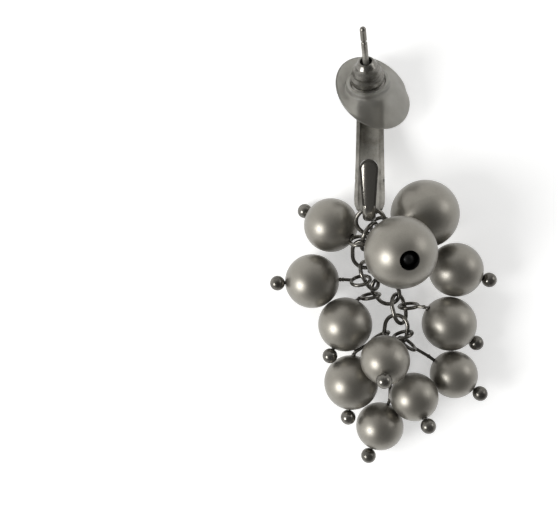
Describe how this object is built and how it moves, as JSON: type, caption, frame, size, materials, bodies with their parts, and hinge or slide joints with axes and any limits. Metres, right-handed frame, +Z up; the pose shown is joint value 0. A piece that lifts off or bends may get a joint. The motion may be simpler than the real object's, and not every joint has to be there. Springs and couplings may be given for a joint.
{
  "type": "cluster earring",
  "caption": "Drop earring: a narrow channelled hoop plate with a post and a bullet clutch, and a cluster of round pearls on ball-headed pins hung from a short chain.",
  "frame": {"origin": "middle of the footprint, on the floor the earring lies on", "axes": "+Y along the hoop plate from the pearls towards the post's tip, +Z up from the floor, +X to the right seen from above"},
  "size_m": [0.0336, 0.0622, 0.0174],
  "materials": {
    "plated_metal": "dark nickel plate, polished and a little worn",
    "pearl": "satin grey imitation-pearl lacquer over a moulded bead",
    "soft_plastic": "milky clear soft plastic"
  },
  "bodies": {
    "earring": {"hoop": "plated_metal", "jump_ring": "plated_metal", "link_1": "plated_metal", "link_2": "plated_metal", "link_3": "plated_metal", "link_4": "plated_metal", "link_5": "plated_metal", "link_6": "plated_metal", "pearl_1": "pearl", "pearl_2": "pearl", "pearl_3": "pearl", "pearl_4": "pearl", "pearl_5": "pearl", "pearl_6": "pearl", "pearl_7": "pearl", "pearl_8": "pearl", "pearl_9": "pearl", "pearl_10": "pearl", "pearl_11": "pearl", "pearl_12": "pearl", "pin_1": "plated_metal", "pin_2": "plated_metal", "pin_3": "plated_metal", "pin_4": "plated_metal", "pin_5": "plated_metal", "pin_6": "plated_metal", "pin_7": "plated_metal", "pin_8": "plated_metal", "pin_9": "plated_metal", "pin_10": "plated_metal", "pin_11": "plated_metal", "pin_12": "plated_metal"},
    "clutch": {"clutch_bullet": "plated_metal", "clutch_disc": "soft_plastic"}
  },
  "joints": [
    {"name": "clutch_slide", "type": "slide", "parent": "earring", "child": "clutch", "axis": [-0.1742, 0.5725, 0.8012], "range_m": [0, 0.0115]}
  ]
}
